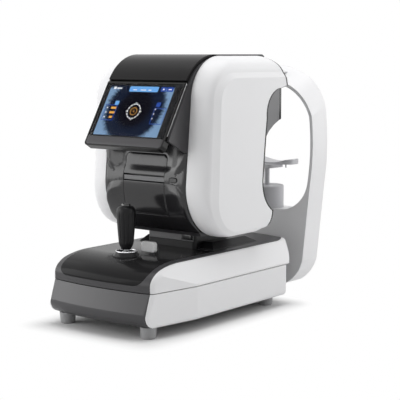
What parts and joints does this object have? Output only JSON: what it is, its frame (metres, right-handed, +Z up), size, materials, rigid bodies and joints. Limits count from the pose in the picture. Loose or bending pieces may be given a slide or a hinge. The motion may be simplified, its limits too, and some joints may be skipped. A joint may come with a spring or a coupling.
{
  "type": "autorefractor",
  "caption": "Table-top eye-testing instrument: a measuring head with display on a joystick-driven sliding stage, facing a chin and forehead rest.",
  "frame": {"origin": "centre of the footprint rectangle on the table plane, with stage, lift, display and chin rest at their middle positions", "axes": "+X to the operator's right, +Y from the operator towards the patient, +Z up"},
  "size_m": [0.262, 0.5292, 0.441],
  "materials": {
    "white_shell": "fine satin moulded shell",
    "white_base": "fine satin moulded shell",
    "light_grey": "satin light grey moulding",
    "dark_gloss": "high-gloss black cover",
    "dark_satin": "satin near-black moulding",
    "dark_grey": "satin dark grey moulding",
    "strip_grey": "mid grey strip",
    "display_glass": "cover glass",
    "lcd": "lit screen",
    "window_glass": "coated glass",
    "mire": "frosted light ring",
    "steel": "ground steel",
    "zinc_plate": "zinc-plated sheet",
    "painted_frame": "grey painted metal",
    "aluminium": "machined aluminium",
    "brass": "machined brass",
    "chrome": "bright chrome ring",
    "rubber": "matte rubber",
    "grip_rubber": "ribbed soft grip",
    "paper": "thermal paper",
    "pad": "soft pad",
    "black_plastic": "black plastic"
  },
  "bodies": {
    "base": {"base_housing": "dark_gloss", "base_side_right": "white_base", "base_side_left": "white_base", "base_plate": "zinc_plate", "feet": "rubber", "racks": "steel", "arch_bracket": "painted_frame", "arch": "white_base", "arch_rear_cover": "light_grey", "forehead_pad": "pad", "chinrest_housing": "light_grey", "mains_fittings": "black_plastic", "base_screws": "steel"},
    "switch_rocker": {"power_switch": "black_plastic"},
    "carriage": {"axle_bearings": "aluminium"},
    "axle": {"stage_axle": "steel", "pinions": "brass"},
    "stage": {"stage_plate": "zinc_plate", "axle_bush": "aluminium", "stage_cover": "dark_gloss", "deck_panel": "dark_gloss", "stage_side_right": "white_base", "stage_side_left": "white_base", "pedestal": "dark_satin", "pedestal_strip": "strip_grey", "lift_columns": "steel", "lift_motor": "black_plastic", "joystick_socket": "dark_satin", "joystick_ring": "chrome", "lever_bracket": "dark_grey"},
    "screw": {"lift_screw": "steel"},
    "gimbal": {"gimbal_ring": "steel"},
    "stick": {"joystick_shaft": "steel"},
    "grip": {"joystick_grip": "grip_rubber"},
    "button": {"joystick_button": "black_plastic"},
    "lever": {"lock_lever": "light_grey"},
    "head": {"side_cover_right": "white_shell", "side_cover_left": "white_shell", "head_core": "dark_satin", "rear_shell": "dark_satin", "nose_housing": "light_grey", "nose_panel": "dark_gloss", "mire_ring": "mire", "window_glass": "window_glass", "lens_barrel": "aluminium", "hood": "dark_satin", "lift_bridge": "aluminium", "front_panel": "dark_grey", "paper_slot_bar": "dark_gloss", "printer_lid": "dark_grey", "paper_roll": "paper", "printer_mechanism": "black_plastic"},
    "door": {"printer_door": "dark_grey"},
    "release": {"printer_release": "black_plastic"},
    "display": {"display_housing": "dark_satin", "display_glass": "display_glass", "lcd_panel": "lcd"},
    "chinrest": {"chinrest_post": "light_grey", "chin_cup": "light_grey", "paper_pins": "steel"}
  },
  "joints": [
    {"name": "stage_fore_aft", "type": "slide", "parent": "base", "child": "carriage", "axis": [0, 1, 0], "range_m": [-0.02, 0.02]},
    {"name": "axle_roll", "type": "hinge", "parent": "carriage", "child": "axle", "pos_m": [0, -0.0365, 0.0835], "axis": [1, 0, 0], "range_deg": [-144, 144]},
    {"name": "stage_sideways", "type": "slide", "parent": "carriage", "child": "stage", "axis": [1, 0, 0], "range_m": [-0.038, 0.038]},
    {"name": "stick_fore_aft", "type": "hinge", "parent": "stage", "child": "gimbal", "pos_m": [0, -0.1825, 0.113], "axis": [1, 0, 0], "range_deg": [-12, 12]},
    {"name": "stick_sideways", "type": "hinge", "parent": "gimbal", "child": "stick", "pos_m": [0, -0.1825, 0.113], "axis": [0, 1, 0], "range_deg": [-12, 12]},
    {"name": "grip_twist", "type": "hinge", "parent": "stick", "child": "grip", "pos_m": [0, -0.1825, 0.16], "axis": [0, 0, 1], "range_deg": [-45, 45]},
    {"name": "joystick_button", "type": "slide", "parent": "grip", "child": "button", "axis": [0, 0, -1], "range_m": [0, 0.002], "stiffness_N_per_m": 900, "springref_m": -0.001},
    {"name": "stage_lock", "type": "hinge", "parent": "stage", "child": "lever", "pos_m": [0.031, -0.1505, 0.1225], "axis": [0, 1, 0], "range_deg": [0, 90]},
    {"name": "head_lift", "type": "slide", "parent": "stage", "child": "head", "axis": [0, 0, 1], "range_m": [-0.012, 0.018]},
    {"name": "lift_screw_turn", "type": "hinge", "parent": "stage", "child": "screw", "pos_m": [0, -0.0215, 0.15], "axis": [0, 0, 1], "range_deg": [-1081, 1621]},
    {"name": "display_tilt", "type": "hinge", "parent": "head", "child": "display", "pos_m": [0, -0.12745, 0.39031], "axis": [1, 0, 0], "range_deg": [-30, 0]},
    {"name": "printer_door_hinge", "type": "hinge", "parent": "head", "child": "door", "pos_m": [0, -0.1278, 0.18], "axis": [1, 0, 0], "range_deg": [0, 45]},
    {"name": "printer_release_button", "type": "slide", "parent": "head", "child": "release", "axis": [0, 1, 0], "range_m": [0, 0.0015], "stiffness_N_per_m": 200, "springref_m": -0.002},
    {"name": "chinrest_height", "type": "slide", "parent": "base", "child": "chinrest", "axis": [0, 0, 1], "range_m": [-0.022, 0.043]},
    {"name": "power_rocker", "type": "hinge", "parent": "base", "child": "switch_rocker", "pos_m": [0.084, 0.1055, 0.045], "axis": [1, 0, 0], "range_deg": [0, 16]}
  ],
  "couplings": [
    {"joint": "axle_roll", "follows": "stage_fore_aft", "rad_per_m": -125},
    {"joint": "lift_screw_turn", "follows": "head_lift", "rad_per_m": 1570.8}
  ]
}
